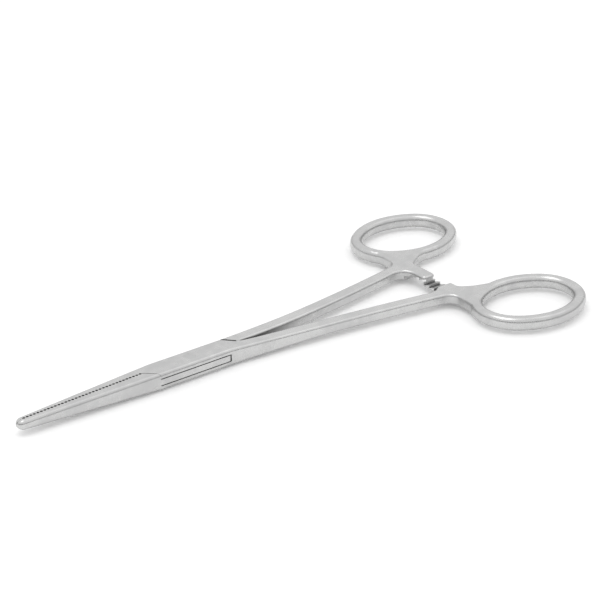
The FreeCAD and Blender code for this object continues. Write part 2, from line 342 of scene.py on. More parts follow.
@dataclass
class Slab:
    """Forged plate over a plan outline, with a rounded rim and a thickness rule.

    A net of the grid's size lies over each flat, a little way in from its border. The
    least cosine keeps the rim from running out at a sharp corner.
    """

    INSIDE_ONLY, SAME_SPOT = 1, 1e-5

    thickness: Callable[[float, float], float]
    mid_z: float
    rim_steps: int = 7
    grid: float = 0.8
    border_share: float = 0.8
    least_rise: float = 0.02
    least_cosine: float = 0.6

    def build(self, shop: Workshop, name: str,
              outline: Sequence[RimSpot]) -> bpy.types.Object:
        """Builds the plate.

        Args:
            shop: The workshop.
            name: Name of the working object.
            outline: Plan outline, anticlockwise.

        Returns:
            The closed solid.
        """
        spots = Path.dense(outline)
        inward = self._inward(spots)
        work = bmesh.new()
        rings = []
        turns = [math.pi / 2 * i / self.rim_steps for i in range(self.rim_steps + 1)]
        for side in (-1, 1):
            for turn in (reversed(turns) if side < 0 else turns):
                rings.append([work.verts.new(self._rim(spot, push, turn, side))
                              for spot, push in zip(spots, inward)])
        Workshop.skin(work, rings)
        for ring, side in ((rings[0], -1), (rings[-1], 1)):
            self._cap(work, ring, side)
        return shop.from_bmesh(name, work)

    def _inward(self, spots: Sequence[RimSpot]) -> list[Vector]:
        """Inward direction at each spot, lengthened so that both edges move by one.

        Args:
            spots: The dense outline.

        Returns:
            One vector for each spot.
        """
        made = []
        for i, here in enumerate(spots):
            before, after = spots[i - 1], spots[(i + 1) % len(spots)]
            one = Vector((here.x - before.x, here.y - before.y)).normalized()
            two = Vector((after.x - here.x, after.y - here.y)).normalized()
            push = Vector((-one.y - two.y, one.x + two.x)).normalized()
            made.append(push / max(self.least_cosine, push.dot(Vector((-one.y, one.x)))))
        return made

    def _rim(self, spot: RimSpot, push: Vector, turn: float,
             side: int) -> tuple[float, float, float]:
        """One point of the rounded rim.

        Args:
            spot: The spot of the outline.
            push: Its inward direction.
            turn: Angle up the rim, from the flank to the flat.
            side: 1 for the upper rim, -1 for the lower one.

        Returns:
            The point.
        """
        depth = spot.rim * (1 - math.cos(turn))
        x, y = spot.x + push.x * depth, spot.y + push.y * depth
        rise = self.thickness(x, y) - spot.rim * (1 - math.sin(turn))
        return x, y, self.mid_z + side * max(rise, self.least_rise)

    def _cap(self, work: bmesh.types.BMesh, ring: Sequence[bmesh.types.BMVert],
             side: int) -> None:
        """Closes one flat face with a fine net that follows the thickness rule.

        Args:
            work: The bmesh.
            ring: The innermost ring of the rim.
            side: 1 for the top, -1 for the underside.
        """
        border = [Vector((v.co.x, v.co.y)) for v in ring]
        inner = self._grid_inside(border)
        edges = [(i, (i + 1) % len(border)) for i in range(len(border))]
        flat, _, faces, origin, _, _ = delaunay_2d_cdt(
            border + inner, edges, [list(range(len(border)))], self.INSIDE_ONLY,
            self.SAME_SPOT)
        made = []
        for spot, source in zip(flat, origin):
            known = [i for i in source if i < len(border)]
            if known:
                made.append(ring[known[0]])
            else:
                rise = self.thickness(spot.x, spot.y)
                made.append(work.verts.new((spot.x, spot.y, self.mid_z + side * rise)))
        for face in faces:
            corners = [made[i] for i in face]
            if len(set(corners)) > 2:
                work.faces.new(corners)

    def _grid_inside(self, border: Sequence[Vector]) -> list[Vector]:
        """Even net of spots inside a border and not too near to it.

        Args:
            border: The border.

        Returns:
            The spots.
        """
        xs = [v.x for v in border]
        made = []
        x = min(xs) + self.grid / 2
        while x < max(xs):
            crossings = sorted(self._crossings(border, x))
            for low, high in zip(crossings[::2], crossings[1::2]):
                room = high - low - self.grid * self.border_share
                if room > 0:
                    count = max(1, round(room / self.grid))
                    made += [Vector((x, low + (high - low) * (i + 1) / (count + 1)))
                             for i in range(count)]
            x += self.grid
        return made

    @staticmethod
    def _crossings(border: Sequence[Vector], x: float) -> Iterable[float]:
        """Places at which the border crosses a line of constant x.

        Args:
            border: The border.
            x: Station of the line.

        Returns:
            The place across the part of each crossing.
        """
        for a, b in zip(border, list(border[1:]) + [border[0]]):
            if (a.x > x) != (b.x > x):
                yield a.y + (b.y - a.y) * (x - a.x) / (b.x - a.x)


@dataclass
class LockSizes:
    """Box lock: two plates of one half with the flat web of the other between them.

    The gaps are the lock's clearances, and the lines are what its joints are opened to,
    so that they can be seen.
    """

    thickness: float = 4.3
    half_width: float = 3.0
    edge_radius: float = 0.9
    flank_x: float = 9.4
    midline_x: float = 12.6
    slot_radius: float = 9.6
    web_thickness: float = 1.6
    face_gap: float = 0.03
    end_gap: float = 0.1
    shoulder_gap: float = 0.08
    midline_gap: float = 0.03
    pin_radius: float = 1.4
    pin_gap: float = 0.04
    pin_soft: float = 0.03
    neck_run: float = 6.0
    corner_lead: float = 2.0
    corner_radius: float = 1.6
    corner_ease: int = 3
    slot_line: float = 0.24
    shoulder_line: float = 0.56
    front_line: float = 0.16
    end_line: float = 0.4
    line_depth: float = 0.7
    line_past: float = 0.2
    end_share: float = 0.9
    rear_inset: float = -0.05
    front_inset: float = 0.25

    @property
    def mid_z(self) -> float:
        """Height of the middle plane."""
        return self.thickness / 2

    def levels(self, half: float) -> tuple[float, float]:
        """Heights at a distance below and above the middle plane."""
        return self.mid_z - half, self.mid_z + half

    @property
    def slot_end(self) -> float:
        """Where the round end of the slot comes out on the flank."""
        return math.sqrt((self.slot_radius - self.end_gap / 2) ** 2
                         - self.half_width ** 2)


@dataclass
class JawSizes:
    """Jaw: an even taper to a round nose, with serrations cut right through."""

    tip_x: float = -43.8
    tip_half_width: float = 1.4
    tip_half_height: float = 1.2
    nose_length: float = 1.6
    nose_turn: float = math.radians(84)
    nose_steps: int = 16
    edge_radius: float = 0.95
    pitch: float = 0.85
    depth: float = 0.32
    first_x: float = -42.4
    last_x: float = -12.6
    land: float = 0.07
    cut_past: float = 2.0
    cut_low: float = -1.0
    cut_rise: float = 6.3

    @property
    def nose_x(self) -> float:
        """Where the round nose begins."""
        return self.tip_x + self.nose_length


@dataclass
class ShankSizes:
    """Shank: a bow from the box to the ratchet bar that thins behind the box.

    Its rims change over a run behind the box, and the crotch lies a little behind the
    lock's rear shoulder.
    """

    root_inner_y: float = -0.15
    mid_y: float = 4.45
    mid_width: float = 3.3
    end_y: float = 9.435
    end_width: float = 3.09
    flat_half_height: float = 1.37
    straight: float = 6.4
    edge_radius: float = 0.7
    rim_run: float = 8.0
    crotch_rim: float = 0.45
    crotch_run: float = 4.0
    crotch_lag: float = 1.2


@dataclass
class RatchetSizes:
    """Ratchet bar with its saw teeth."""

    x: float = 70.5
    width: float = 3.7
    reach: float = 0.85
    upper_short: float = 0.8
    pitch: float = 1.85
    depth: float = 0.68
    grooves: int = 4
    tip_gap: float = 0.03
    relief_margin: float = 1.89
    front_fillet: float = 3.5
    rear_fillet: float = 1.6
    corner_radius: float = 1.0
    land: float = 0.1
    cut_rise: float = 0.4


@dataclass
class RingSizes:
    """Finger ring: an oval of four arcs, its bar, and how the arm runs into it.

    The heel is where an edge of the arm reaches the ring's bar, the foot is where it
    ends in it, and the swell is the rise of the arm's face to the bar's thickness.
    """

    setback: float = 11.1
    offset: float = 13.465
    half_length: float = 13.4
    half_width: float = 10.2
    end_radius: float = 8.6
    path_count: int = 168
    bar_width: float = 2.98
    bar_thickness: float = 3.4
    edge_radius: float = 1.3
    corner_steps: int = 7
    turn: float = math.radians(2.5)
    crook_lead: float = 1.9
    crook_radius: float = 3.2
    heel_inner: float = math.radians(256)
    heel_outer: float = math.radians(211)
    foot_inner: float = math.radians(271)
    foot_outer: float = math.radians(192)
    heel_fillet: float = 10.0
    heel_corner: float = 1.0
    heel_cover: float = 0.06
    heel_rim: float = 0.43
    foot_dip: float = 0.55
    foot_steps: int = 24
    foot_rim: float = 0.04
    swell_start: float = 1.0
    swell_run: float = 3.2
    swell_gap: float = 0.02

    @property
    def side_radius(self) -> float:
        """Radius of the side arcs, which makes them tangent to the end arcs."""
        a, b, r = self.half_length, self.half_width, self.end_radius
        return (a * a + b * b - 2 * a * r) / (2 * (b - r))


@dataclass
class Sizes:
    """All the sizes of the part."""

    lock: LockSizes = field(default_factory=LockSizes)
    jaw: JawSizes = field(default_factory=JawSizes)
    shank: ShankSizes = field(default_factory=ShankSizes)
    ratchet: RatchetSizes = field(default_factory=RatchetSizes)
    ring: RingSizes = field(default_factory=RingSizes)

    @property
    def ring_centre(self) -> Vector:
        """Centre of the ring on the +Y side, in plan."""
        return Vector((self.ratchet.x + self.ring.setback,
                       self.shank.end_y + self.ring.offset))

    @property
    def shank_mid_x(self) -> float:
        """Middle station of the shank."""
        return (self.lock.flank_x + self.ratchet.x) / 2

    def half_height(self, x: float, y: float) -> float:
        """Half of the forging's thickness.

        Args:
            x: Station along the part.
            y: Place across it.

        Returns:
            Half of the thickness there.
        """
        lock, jaw, shank = self.lock, self.jaw, self.shank
        if x < jaw.nose_x:
            run = min(1.0, (jaw.nose_x - x) / jaw.nose_length)
            return jaw.tip_half_height * math.sqrt(1 - run * run)
        if x < -lock.flank_x:
            share = (-lock.flank_x - x) / (-lock.flank_x - jaw.nose_x)
            return mix(lock.mid_z, jaw.tip_half_height, share)
        if x < lock.flank_x:
            return lock.mid_z
        if x < self.shank_mid_x:
            thinning = lock.mid_z - shank.flat_half_height
            length = self.shank_mid_x - lock.flank_x
            radius = (length ** 2 + thinning ** 2) / (2 * thinning)
            return shank.flat_half_height + radius - math.sqrt(
                radius ** 2 - (self.shank_mid_x - x) ** 2)
        return shank.flat_half_height + self.ring_swell(x, y)

    def ring_swell(self, x: float, y: float) -> float:
        """Rise of the arm's face where it runs up to the thicker bar of the ring.

        Args:
            x: Station along the part.
            y: Place across it.

        Returns:
            The rise.
        """
        ring = self.ring
        spot = Vector((x, abs(y))) - self.ring_centre
        facing = Matrix.Rotation(-ring.turn, 2) @ spot
        gap = math.hypot(facing.x / ring.half_length, facing.y / ring.half_width) - 1
        past = gap * ring.half_width - ring.swell_start
        near = min(1.0, max(0.0, 1 - past / ring.swell_run))
        full = ring.bar_thickness / 2 - self.shank.flat_half_height - ring.swell_gap
        return full * (near * near * (3 - 2 * near))


class NodeWriter:
    """Small helper that writes the nodes of a tree."""

    def __init__(self, tree: bpy.types.NodeTree) -> None:
        """Keeps the tree."""
        self.tree = tree

    def sockets(self, way: str, kinds: Iterable[tuple[str, str]]) -> None:
        """Adds named sockets to a group.

        Args:
            way: INPUT or OUTPUT.
            kinds: (name, socket type) of each.
        """
        for label, kind in kinds:
            self.tree.interface.new_socket(label, in_out=way, socket_type=kind)

    def node(self, kind: str, setup: Optional[dict[str, object]] = None,
             **feeds: object) -> bpy.types.Node:
        """Adds a node, sets its options and feeds its inputs.

        Args:
            kind: Type of the node.
            setup: Options of the node.
            **feeds: Input name, with spaces as underscores, to a socket or a value.

        Returns:
            The node.
        """
        made = self.tree.nodes.new(kind)
        for label, value in (setup or {}).items():
            setattr(made, label, value)
        for label, value in feeds.items():
            self.feed(made.inputs[label.replace("_", " ")], value)
        return made

    def feed(self, socket: bpy.types.NodeSocket, value: object) -> None:
        """Links a socket to another, or sets its value.

        Args:
            socket: The socket.
            value: The other socket, or the value.
        """
        if isinstance(value, bpy.types.NodeSocket):
            self.tree.links.new(value, socket)
        else:
            socket.default_value = value


class ShapeTree(NodeWriter):
    """Writes a geometry node tree."""

    def __init__(self, name: str, *inputs: tuple[str, str]) -> None:
        """Starts a tree with a geometry input, its named inputs and one output.

        Args:
            name: Name of the tree.
            *inputs: (name, socket type) of each input after the geometry.
        """
        super().__init__(bpy.data.node_groups.new(name, "GeometryNodeTree"))
        shape = ("Geometry", "NodeSocketGeometry")
        coat = ("Material", "NodeSocketMaterial")
        self.sockets("INPUT", (shape, *inputs, coat))
        self.sockets("OUTPUT", (shape,))
        self.given = self.node("NodeGroupInput").outputs
        self.end = self.node("NodeGroupOutput")

    def close(self, geometry: bpy.types.NodeSocket) -> bpy.types.GeometryNodeTree:
        """Ends the tree in Realize Instances and Set Material.

        Args:
            geometry: The socket that carries the result.

        Returns:
            The finished tree.
        """
        whole = self.node("GeometryNodeRealizeInstances", Geometry=geometry)
        coat = self.node("GeometryNodeSetMaterial", Geometry=whole.outputs[0],
                         Material=self.given["Material"])
        self.feed(self.end.inputs[0], coat.outputs[0])
        return self.tree


class Patterns:
    """The node trees of the part: a row of teeth, and a bar along a path."""

    def __init__(self) -> None:
        """Builds both trees once."""
        self.row = self._row_tree()
        self.bar = self._bar_tree()

    @staticmethod
    def _row_tree() -> bpy.types.GeometryNodeTree:
        """Tree that repeats one tooth cutter along a straight line.

        Returns:
            The tree.
        """
        made = ShapeTree("tooth_row", ("Count", "NodeSocketInt"),
                         ("Step", "NodeSocketVector"))
        line = made.node("GeometryNodeMeshLine", Count=made.given["Count"],
                         Offset=made.given["Step"])
        row = made.node("GeometryNodeInstanceOnPoints", Points=line.outputs[0],
                        Instance=made.given["Geometry"])
        return made.close(row.outputs[0])

    @staticmethod
    def _bar_tree() -> bpy.types.GeometryNodeTree:
        """Tree that sweeps a rectangle with rounded corners along a closed path.

        Returns:
            The tree.
        """
        made = ShapeTree("bar_on_path", ("Width", "NodeSocketFloat"),
                         ("Thickness", "NodeSocketFloat"),
                         ("Edge Radius", "NodeSocketFloat"),
                         ("Corner Steps", "NodeSocketInt"))
        level = made.node("GeometryNodeSetCurveNormal", {"mode": "Z_UP"},
                          Curve=made.given["Geometry"])
        section = made.node("GeometryNodeCurvePrimitiveQuadrilateral",
                            Width=made.given["Width"], Height=made.given["Thickness"])
        soft = made.node("GeometryNodeFilletCurve", {"mode": "POLY"},
                         Curve=section.outputs[0], Radius=made.given["Edge Radius"],
                         Count=made.given["Corner Steps"])
        swept = made.node("GeometryNodeCurveToMesh", Curve=level.outputs[0],
                          Profile_Curve=soft.outputs[0])
        return made.close(swept.outputs[0])

    @staticmethod
    def apply(made: bpy.types.Object, tree: bpy.types.GeometryNodeTree,
              values: dict[str, object]) -> None:
        """Puts a tree on an object and sets its inputs by their identifiers.

        Args:
            made: The object that gets the tree.
            tree: The tree.
            values: Input name to value.
        """
        step = made.modifiers.new(tree.name, "NODES")
        step.node_group = tree
        for item in tree.interface.items_tree:
            if item.in_out == "INPUT" and item.name in values:
                step[item.identifier] = values[item.name]


class Shank:
    """Plan curves of a shank on the +Y side, with its ratchet bar and its foot."""

    def __init__(self, sizes: Sizes, reach: float) -> None:
        """Keeps the sizes.

        Args:
            sizes: All the sizes of the part.
            reach: How far the ratchet bar goes past the midline.
        """
        self.sizes = sizes
        self.reach = reach

    def edge_y(self, x: float, side: int) -> float:
        """Where one edge of the shank stands: an arc through its three stations.

        Args:
            x: Station along the part.
            side: 1 for the outer edge, -1 for the inner one.

        Returns:
            Distance from the midline.
        """
        s = self.sizes
        shank = s.shank
        root = s.lock.half_width if side > 0 else shank.root_inner_y
        one = Vector((s.lock.flank_x, root))
        two = Vector((s.shank_mid_x, shank.mid_y + side * shank.mid_width / 2))
        three = Vector((s.ratchet.x, shank.end_y + side * shank.end_width / 2))
        centre, radius = self._circle(one, two, three)
        return centre.y - math.sqrt(radius ** 2 - (x - centre.x) ** 2)

    @staticmethod
    def _circle(a: Vector, b: Vector, c: Vector) -> tuple[Vector, float]:
        """Circle through three spots.

        Args:
            a: First spot.
            b: Second spot.
            c: Third spot.

        Returns:
            Its centre and its radius.
        """
        d = 2 * (a.x * (b.y - c.y) + b.x * (c.y - a.y) + c.x * (a.y - b.y))
        aa, bb, cc = a.length_squared, b.length_squared, c.length_squared
        x = (aa * (b.y - c.y) + bb * (c.y - a.y) + cc * (a.y - b.y)) / d
        y = (aa * (c.x - b.x) + bb * (a.x - c.x) + cc * (b.x - a.x)) / d
        centre = Vector((x, y))
        return centre, (a - centre).length

    def outer(self) -> list[Spot]:
        """Outer edge from the box to the foot, with the crook before the ring.

        Returns:
            The spots in order.
        """
        s, bend = self.sizes, self.bend_x
        crook_x = s.ratchet.x - s.ring.crook_lead
        turn = Path.rounded([(bend, self.edge_y(bend, 1), 0.0),
                             (crook_x, self.edge_y(crook_x, 1), s.ring.crook_radius)]
                            + self.heel(s.ring.heel_outer, s.ring.foot_outer))
        return self._bowed(s.lock.flank_x, 1) + turn[1:]

    def inner(self) -> list[Spot]:
        """Inner edge from the foot, round the ratchet bar, back to the shoulder.

        Returns:
            The spots in order.
        """
        ring, bar, bend = self.sizes.ring, self.sizes.ratchet, self.bend_x
        front, rear = bar.x - bar.width / 2, bar.x + bar.width / 2
        edge = Path.rounded(self.heel(ring.heel_inner, ring.foot_inner)[::-1] + [
            (rear, self.edge_y(rear, -1), bar.rear_fillet),
            (rear, -self.reach, bar.corner_radius),
            (front, -self.reach, bar.corner_radius),
            (front, self.edge_y(front, -1), bar.front_fillet),
            (bend, self.edge_y(bend, -1), 0.0)])
        return edge + self._bowed(self.shoulder_x, -1)[-2::-1]

    @property
    def shoulder_x(self) -> float:
        """Where the two shanks part behind the box."""
        return self.sizes.lock.midline_x + self.sizes.shank.crotch_lag

    @property
    def bend_x(self) -> float:
        """Where the bow ends and the straight part before the bar begins."""
        bar = self.sizes.ratchet
        return bar.x - bar.width / 2 - self.sizes.shank.straight

    def _bowed(self, start: float, side: int) -> list[Spot]:
        """Spots along one bowed edge as far as the bend, both ends included.

        Args:
            start: Station at which it starts.
            side: 1 for the outer edge, -1 for the inner one.

        Returns:
            The spots in order.
        """
        run = self.bend_x - start
        count = math.ceil(run / (2 * OUTLINE_STEP))
        stations = [start + run * i / count for i in range(count + 1)]
        return [(x, self.edge_y(x, side)) for x in stations]

    def heel(self, start: float, end: float) -> list[Corner]:
        """Corners by which an edge of the arm runs along the ring and ends in its bar.

        Args:
            start: Direction in which the ring faces where the edge reaches it.
            end: The same where the edge turns into the bar.

        Returns:
            The corners, each with its radius.
        """
        ring = self.sizes.ring
        skin = ring.bar_width / 2 - ring.heel_cover
        return [(*self.ring_spot(start, skin), ring.heel_fillet),
                (*self.ring_spot(end, skin), ring.heel_corner),
                (*self.ring_spot(end, -ring.foot_dip), 0.0)]

    def foot(self) -> list[Spot]:
        """Edge of the end that is sunk in the ring's bar.

        Returns:
            The spots from the inner edge to the outer one.
        """
        ring = self.sizes.ring
        turn = ring.foot_outer - ring.foot_inner
        angles = [ring.foot_inner + turn * i / ring.foot_steps
                  for i in range(1, ring.foot_steps)]
        return [self.ring_spot(angle, -ring.foot_dip) for angle in angles]

    def ring_spot(self, angle: float, offset: float) -> Spot:
        """Spot of the +Y ring at an offset outside the centre line of its bar.

        Args:
            angle: Direction in which the ring faces there.
            offset: Distance outside the centre line.

        Returns:
            The spot in plan.
        """
        ring = self.sizes.ring
        facing = Vector((math.cos(angle), math.sin(angle)))
        end_x = ring.half_length - ring.end_radius
        side_y = ring.side_radius - ring.half_width
        if abs(facing.y) * end_x < abs(facing.x) * side_y:
            spot = Vector((math.copysign(end_x, facing.x), 0))
            spot += facing * (ring.end_radius + offset)
        else:
            spot = Vector((0, -math.copysign(side_y, facing.y)))
            spot += facing * (ring.side_radius + offset)
        spot = Matrix.Rotation(ring.turn, 2) @ spot + self.sizes.ring_centre
        return spot.x, spot.y


class Forging:
    """One half of the instrument before it is cut: jaw on +Y, shank and ring on -Y."""

    UPPER_BAR = False

    def __init__(self, shop: Workshop, patterns: Patterns, sizes: Sizes) -> None:
        """Keeps the workshop, the node trees and the sizes.

        The upper ratchet bar ends early, so that the teeth of the lower one show.

        Args:
            shop: The workshop.
            patterns: The node trees.
            sizes: All the sizes of the part.
        """
        self.shop = shop
        self.patterns = patterns
        self.sizes = sizes
        short = sizes.ratchet.upper_short if self.UPPER_BAR else 0.0
        self.shank = Shank(sizes, sizes.ratchet.reach - short)

    def blank(self) -> bpy.types.Object:
        """Builds the whole forging.

        Returns:
            The closed solid.
        """
        slab = Slab(self.sizes.half_height, self.sizes.lock.mid_z)
        body = slab.build(self.shop, "forging", self.outline())
        ring = self.shop.mirror(self.ring())
        return self.shop.combine(body, Join.UNITE, [ring])

    def outline(self) -> list[RimSpot]:
        """Plan of jaw, box, shank and ratchet bar, anticlockwise.

        The jaw is drawn on both sides of the midline, and the box runs on past its rear
        shoulder, so that every edge made by parting the halves comes out square.

        Returns:
            The spots with the rim radius at each.
        """
        s, lock, rim = self.sizes, self.sizes.lock, self.sizes.shank.edge_radius
        front = self._jaw_edge()
        spots = [RimSpot(r.x, -r.y, r.rim) for r in reversed(front)]
        for x, y in self.shank.outer():
            ease = max(0.0, 1 - (x - lock.flank_x) / s.shank.rim_run)
            spots.append(RimSpot(x, -y, mix(rim, lock.edge_radius, ease)))
        spots += [RimSpot(x, -y, s.ring.foot_rim) for x, y in reversed(self.shank.foot())]
        for x, y in self.shank.inner():
            ease = max(0.0, 1 - (x - self.shank.shoulder_x) / s.shank.crotch_run)
            spots.append(RimSpot(x, -y, mix(rim, s.shank.crotch_rim, ease)))
        last = spots[-1]
        corner = Path.rounded([(last.x, last.y, 0.0),
                               (lock.flank_x + lock.corner_lead, lock.half_width,
                                lock.corner_radius),
                               (lock.flank_x, lock.half_width, 0.0)])
        for i, (x, y) in enumerate(corner[1:]):
            ease = max(0.0, 1 - i / lock.corner_ease)
            spots.append(RimSpot(x, y, mix(lock.edge_radius, s.shank.crotch_rim, ease)))
        return [self._swollen(spot) for spot in Path.dense(spots + front)]

    def _swollen(self, spot: RimSpot) -> RimSpot:
        """Spot whose rim takes the rounder form of the ring's bar as it comes near it.

        Args:
            spot: The spot, on the -Y side.

        Returns:
            The spot, with a thin rim where the arm ends in the bar.
        """
        s = self.sizes
        if spot.x < s.ratchet.x - s.ratchet.width:
            return spot
        full = s.ring.bar_thickness / 2 - s.shank.flat_half_height
        share = s.ring_swell(spot.x, spot.y) / full
        more = (s.ring.edge_radius - s.shank.edge_radius) / s.shank.edge_radius
        rim = spot.rim * (1 + more * share)
        for end in (s.ring.foot_inner, s.ring.foot_outer):
            x, y = self.shank.ring_spot(end, -s.ring.foot_dip)
            rim = min(rim, s.ring.foot_rim
                      + s.ring.heel_rim * math.hypot(spot.x - x, -spot.y - y))
        return RimSpot(spot.x, spot.y, rim)

    def _jaw_edge(self) -> list[RimSpot]:
        """Outer edge of a jaw on the +Y side.

        Returns:
            The spots from the box to the nose, with the rim radius at each.
        """
        lock, jaw = self.sizes.lock, self.sizes.jaw
        spots = [RimSpot(-lock.flank_x, lock.half_width, lock.edge_radius)]
        for i in range(jaw.nose_steps + 1):
            turn = jaw.nose_turn * i / jaw.nose_steps
            size = math.cos(turn)
            spots.append(RimSpot(jaw.nose_x - jaw.nose_length * math.sin(turn),
                                 jaw.tip_half_width * size, jaw.edge_radius * size))
        return spots

    def ring(self) -> bpy.types.Object:
        """Builds the finger ring on the +Y side.

        Returns:
            The closed solid.
        """
        ring = self.sizes.ring
        curve = bpy.data.curves.new("ring_path", "CURVE")
        curve.dimensions = "3D"
        line = curve.splines.new("POLY")
        line.points.add(ring.path_count - 1)
        for i, point in enumerate(line.points):
            x, y = self.shank.ring_spot(2 * math.pi * i / ring.path_count, 0.0)
            point.co = (x, y, self.sizes.lock.mid_z, 1)
        line.use_cyclic_u = True
        made = self.shop.place("ring", curve)
        Patterns.apply(made, self.patterns.bar, {
            "Width": ring.bar_width, "Thickness": ring.bar_thickness,
            "Edge Radius": ring.edge_radius, "Corner Steps": ring.corner_steps})
        return self.shop.settled(made)

    def row(self, name: str, outline: Sequence[Corner], run: Vector, count: int,
            step: Vector) -> bpy.types.Object:
        """One cutter repeated along a line.

        Args:
            name: Name of the working object.
            outline: Corners of the cutter's section, in space.
            run: How far the section is pushed through the part.
            count: Number of cutters.
            step: From one cutter to the next.

        Returns:
            The row of closed cutters.
        """
        made = self.shop.loft(name, [[Vector(corner) + run * end for corner in outline]
                                     for end in (0, 1)])
        Patterns.apply(made, self.patterns.row, {"Count": count, "Step": tuple(step)})
        return self.shop.settled(made)

    def serrations(self) -> bpy.types.Object:
        """Row of V cutters for the cross serrations of a jaw on the +Y side.

        Returns:
            The cutters.
        """
        jaw, gap = self.sizes.jaw, self.sizes.lock.midline_gap
        count = int((jaw.last_x - jaw.first_x) / jaw.pitch)
        left = jaw.first_x + jaw.land / 2
        right = jaw.first_x + jaw.pitch - jaw.land / 2
        section = [(left, -jaw.cut_past), (right, -jaw.cut_past), (right, gap),
                   ((left + right) / 2, gap + jaw.depth), (left, gap)]
        return self.row("serrations", [(x, y, jaw.cut_low) for x, y in section],
                        Vector((0, 0, jaw.cut_rise)), count, Vector((jaw.pitch, 0, 0)))

    def teeth(self) -> bpy.types.Object:
        """Row of saw cutters for the meeting face of the lower ratchet bar.

        Returns:
            The cutters.
        """
        bar = self.sizes.ratchet
        face = self.sizes.lock.mid_z - bar.tip_gap
        section = [(bar.pitch, face + bar.cut_rise), (bar.pitch, face - bar.depth),
                   (bar.land, face), (bar.land, face + bar.cut_rise)]
        return self.row("teeth", [(bar.x - bar.width, y, z) for y, z in section],
                        Vector((2 * bar.width, 0, 0)), bar.grooves,
                        Vector((0, -bar.pitch, 0)))

    def relief(self) -> bpy.types.Object:
        """Block that takes the upper half of the lower ratchet bar.

        Returns:
            The cutter.
        """
        bar, lock = self.sizes.ratchet, self.sizes.lock
        stop = self.shank.edge_y(bar.x, -1) - bar.relief_margin
        outline = [(bar.x - bar.width, -stop), (bar.x + bar.width, -stop),
                   (bar.x + bar.width, stop), (bar.x - bar.width, stop)]
        return self.shop.prism("relief", outline, lock.mid_z - bar.tip_gap,
                               2 * lock.thickness)

    def upside_down(self, made: bpy.types.Object) -> bpy.types.Object:
        """Turns a solid half round a line along X through the middle plane.

        Args:
            made: The solid.

        Returns:
            The same solid.
        """
        middle = Matrix.Translation((0, 0, self.sizes.lock.mid_z))
        made.data.transform(middle @ Matrix.Rotation(math.pi, 4, "X") @ middle.inverted())
        return made

    def joint_lines(self) -> list[bpy.types.Object]:
        """Cutters that open the joints between the halves into narrow dark lines.

        Returns:
            The cutters for the rear of the lock, then the same for its front.
        """
        lock = self.sizes.lock
        low, high = lock.levels(lock.web_thickness / 2 + lock.face_gap / 2)
        lean = lock.shoulder_gap / 2
        flank = Vector((lock.flank_x + lean, lock.half_width))
        tip = Vector((lock.midline_x + lean, 0.0))
        made = []
        for turn, inset, width in ((1, lock.rear_inset, lock.shoulder_line),
                                   (-1, lock.front_inset, lock.front_line)):
            start, end = -turn * (lock.flank_x + lock.line_past), turn * lock.slot_end
            side = -turn * lock.half_width
            for z in (low, high):
                made.append(self.groove(
                    Vector((start, side, z)), Vector((end, side, z)),
                    Vector((0, lock.line_depth, 0)), Vector((0, 0, lock.slot_line / 2))))
            made.append(self.groove(
                Vector((end, side, low)), Vector((end, side, high)),
                Vector((0, lock.line_depth * lock.end_share, 0)),
                Vector((lock.end_line / 2, 0, 0))))
            across = (tip - flank).orthogonal().normalized() * width / 2
            for z in (0.0, lock.thickness):
                made.append(self.groove(
                    (flank.lerp(tip, inset) * turn).to_3d() + Vector((0, 0, z)),
                    (tip * turn).to_3d() + Vector((0, 0, z)),
                    Vector((0, 0, lock.line_depth)), across.to_3d()))
        return made

    def groove(self, start: Vector, end: Vector, deep: Vector,
               wide: Vector) -> bpy.types.Object:
        """Cutter for a narrow groove, half of it inside the face and half outside.

        Args:
            start: Where it starts, on the face that it is cut in.
            end: Where it ends.
            deep: Its depth, as a direction.
            wide: Half of its width, as a direction.

        Returns:
            The cutter.
        """
        pushes = (deep + wide, wide - deep, -deep - wide, deep - wide)
        return self.shop.loft("groove", [[spot + push for push in pushes]
                                         for spot in (start, end)])

    def web(self, name: str, radius: float, half: float, far: float,
            side: float) -> list[bpy.types.Object]:
        """Flat web, or the slot for it: a disc, a neck behind it and one before it.

        Args:
            name: Name of the working objects.
            radius: Radius of the disc.
            half: Half of the thickness.
            far: How far along the part a neck goes.
            side: The edge of the rear neck next to the midline.

        Returns:
            The three solids.
        """
        lock = self.sizes.lock
        low, high = lock.levels(half)
        start = lock.slot_radius / 2
        neck = [(start, side), (far, side), (far, lock.neck_run), (start, lock.neck_run)]
        return [self.shop.disc(name, radius, low, high, Workshop.WIDE_DISC_SIDES),
                self.shop.prism(name, neck, low, high),
                self.shop.prism(name, Path.turned(neck), low, high)]


class BoxHalf(Forging):
    """Half whose plates lie above and below the web of the other half."""

    def build(self) -> bpy.types.Object:
        """Builds the half.

        Returns:
            The closed solid, in millimetres.
        """
        lock = self.sizes.lock
        blank = self.blank()
        tools = self._shoulders()
        tools += self.web("slot", lock.slot_radius,
                          lock.web_thickness / 2 + lock.face_gap,
                          lock.midline_x + lock.neck_run, -lock.midline_gap)
        tools += [self.serrations(), self.relief(), self.teeth(),
                  self.shop.disc("bore", lock.pin_radius)]
        return self.shop.combine(blank, Join.CUT, tools + self.joint_lines())

    def _shoulders(self) -> list[bpy.types.Object]:
        """Cutters for what the other half's shoulders stand in.

        Returns:
            The rear one and the front one.
        """
        lock, end = self.sizes.lock, self.sizes.shank_mid_x
        edge = [(lock.flank_x, WIDE), (lock.flank_x, lock.half_width),
                (lock.midline_x, -lock.midline_gap)]
        rear = edge + [(end, -lock.midline_gap), (end, WIDE)]
        front = edge + [(FAR, -lock.midline_gap), (FAR, WIDE)]
        return [self.shop.prism("rear", rear),
                self.shop.prism("front", Path.turned(front))]


